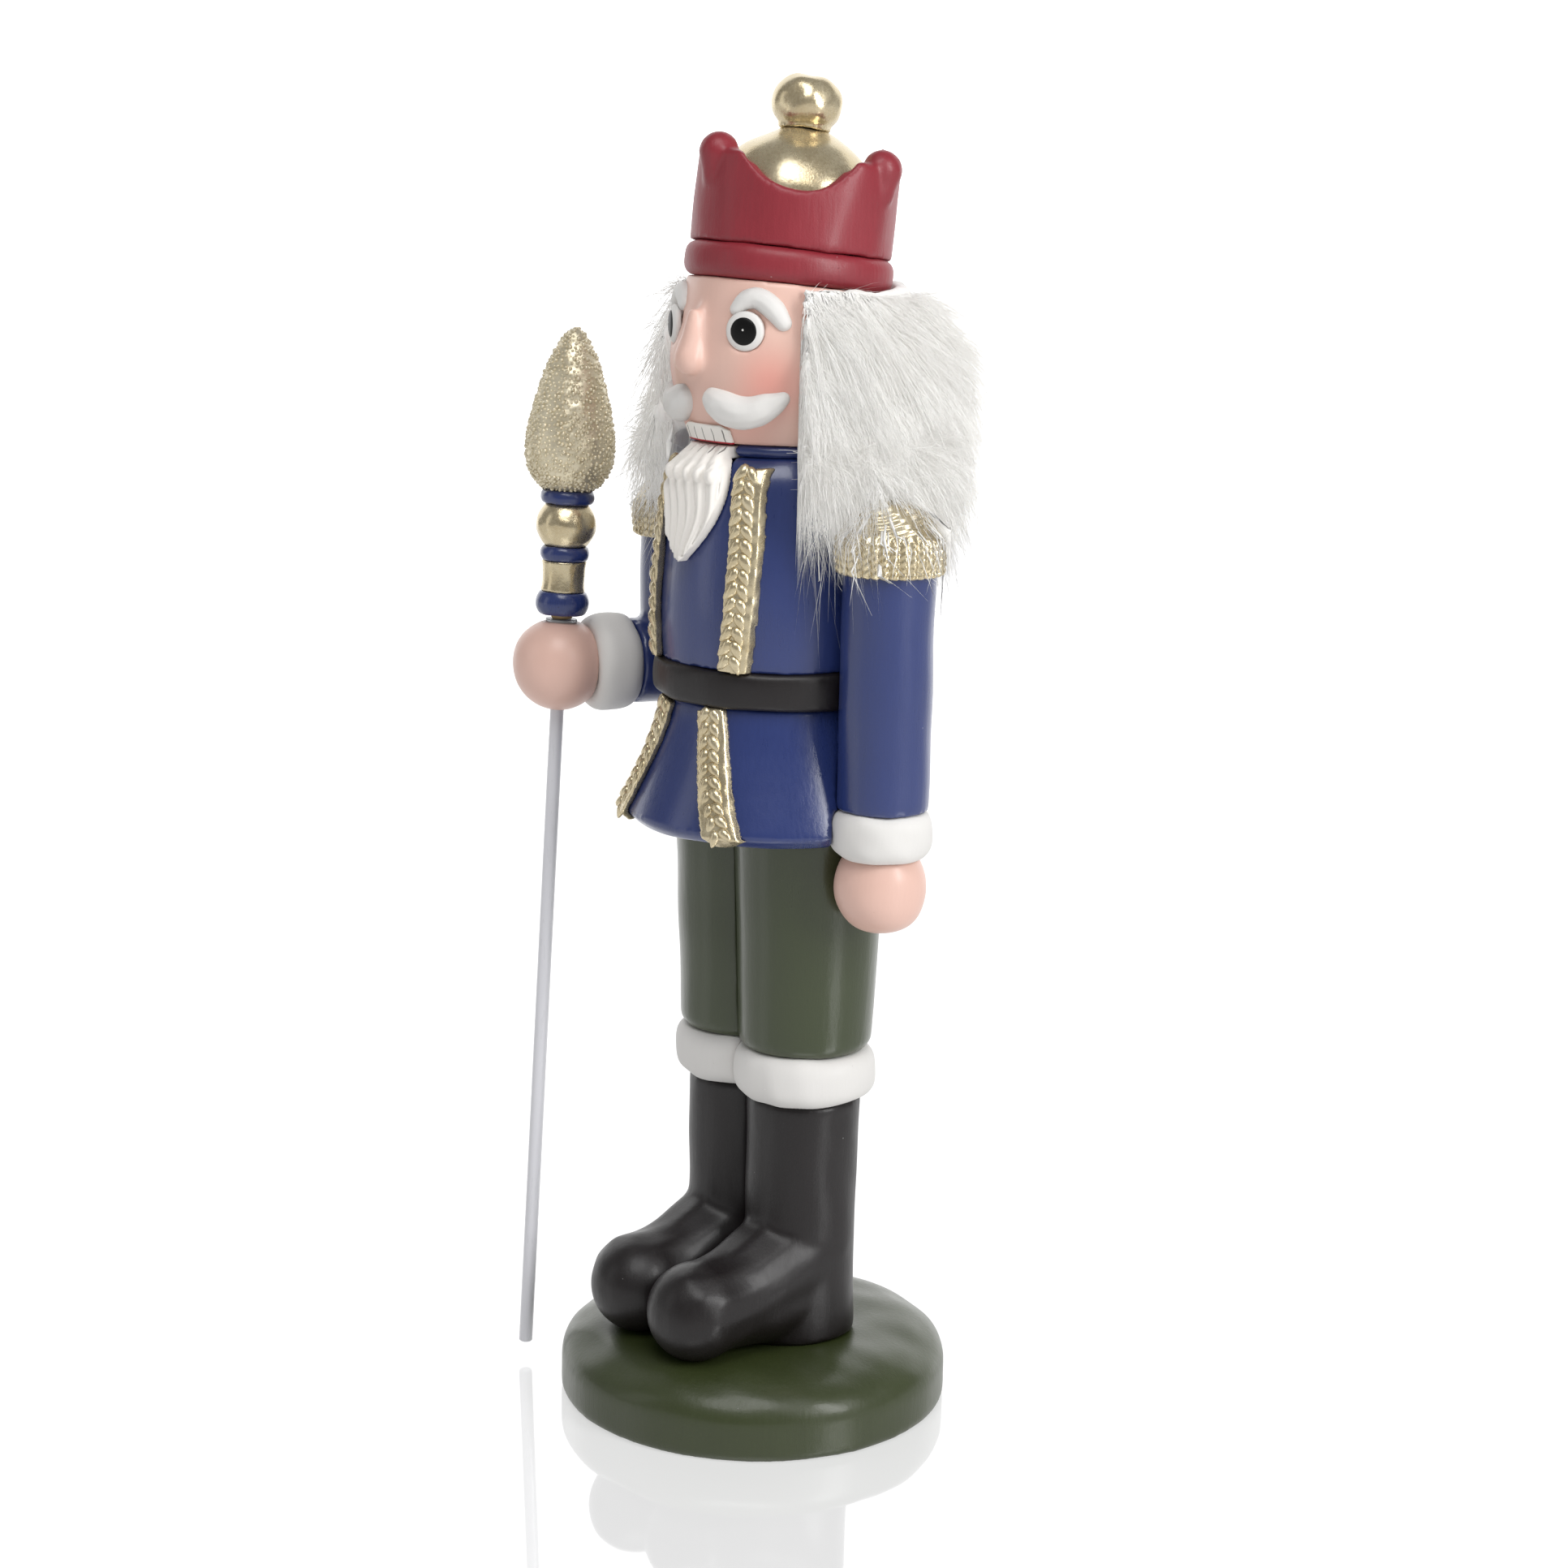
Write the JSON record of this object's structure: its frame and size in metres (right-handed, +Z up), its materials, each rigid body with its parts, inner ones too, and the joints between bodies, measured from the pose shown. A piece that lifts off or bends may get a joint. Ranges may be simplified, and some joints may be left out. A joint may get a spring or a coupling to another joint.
{
  "type": "nutcracker figure",
  "caption": "Standing painted nutcracker soldier figure on a round base, with a lever-worked jaw, long fur hair, a knobbed hat and a removable flame-topped staff.",
  "frame": {"origin": "centre of the round base's underside, on the surface that the figure stands on", "axes": "+Z up; the figure faces -Y, and its left arm is on +X"},
  "size_m": [0.1329, 0.1196, 0.3808],
  "materials": {
    "base_paint": "dark olive green satin paint over a turned block",
    "boot_paint": "black-brown satin paint",
    "trim_paint": "off-white matt paint",
    "trouser_paint": "dark olive green gloss paint",
    "coat_paint": "navy blue gloss paint",
    "gold_paint": "pale gold metallic paint",
    "gold_glitter": "gold paint over coarse granules",
    "skin_paint": "pale flesh satin paint with pink cheeks",
    "pupil_paint": "black gloss paint",
    "hat_paint": "dull crimson satin paint",
    "hair_fur": "long white faux fur",
    "bare_wood": "unpainted beech",
    "pin_steel": "bright drawn steel",
    "rod_enamel": "pale grey gloss enamel on a dowel",
    "washer_plastic": "translucent soft plastic"
  },
  "bodies": {
    "figure": {"arm_left": "coat_paint", "arm_right": "coat_paint", "base": "base_paint", "belt": "boot_paint", "boot_cuff_left": "trim_paint", "boot_cuff_right": "trim_paint", "boot_left": "boot_paint", "boot_right": "boot_paint", "braid_lower_left": "gold_paint", "braid_lower_right": "gold_paint", "braid_upper_left": "gold_paint", "braid_upper_right": "gold_paint", "coat_skirt": "coat_paint", "collar": "coat_paint", "epaulette_left": "gold_paint", "epaulette_right": "gold_paint", "eye_left": "trim_paint", "eye_right": "trim_paint", "eyebrow_left": "trim_paint", "eyebrow_right": "trim_paint", "hair_back": "hair_fur", "hair_left": "hair_fur", "hair_right": "hair_fur", "hand_left": "skin_paint", "hand_right": "skin_paint", "hat_brim": "hat_paint", "hat_crown": "hat_paint", "hat_dome": "gold_paint", "hat_dowel": "bare_wood", "hat_finial": "gold_paint", "head": "skin_paint", "jaw_pivot_pin": "pin_steel", "leg_dowels": "bare_wood", "moustache_left": "trim_paint", "moustache_right": "trim_paint", "neck_dowel": "bare_wood", "nose": "skin_paint", "pupils": "pupil_paint", "shoulder_dowels": "bare_wood", "torso": "coat_paint", "trouser_leg_left": "trouser_paint", "trouser_leg_right": "trouser_paint", "upper_teeth": "trim_paint", "waist_dowel": "bare_wood", "wrist_cuff_left": "trim_paint", "wrist_cuff_right": "trim_paint", "wrist_dowels": "bare_wood"},
    "jaw": {"jaw_lever": "coat_paint", "lower_teeth": "trim_paint", "beard": "trim_paint"},
    "washer": {"staff_washer": "washer_plastic"},
    "staff": {"staff_rod": "rod_enamel", "staff_flame": "gold_glitter", "staff_ring_lower": "coat_paint", "staff_ring_middle": "coat_paint", "staff_ring_upper": "coat_paint", "staff_ball": "gold_paint", "staff_barrel": "gold_paint", "staff_neck": "bare_wood"}
  },
  "joints": [
    {"name": "jaw_open", "type": "hinge", "parent": "figure", "child": "jaw", "pos_m": [0, 0.002, 0.238], "axis": [1, 0, 0], "range_deg": [0, 14]},
    {"name": "staff_lift", "type": "slide", "parent": "figure", "child": "washer", "axis": [0.0052, 0.0466, 0.9989], "range_m": [0, 0.19]},
    {"name": "staff_spin", "type": "hinge", "parent": "washer", "child": "staff", "pos_m": [-0.05585, -0.03223, 0.22499], "axis": [0.0052, 0.0466, 0.9989], "continuous": true}
  ]
}
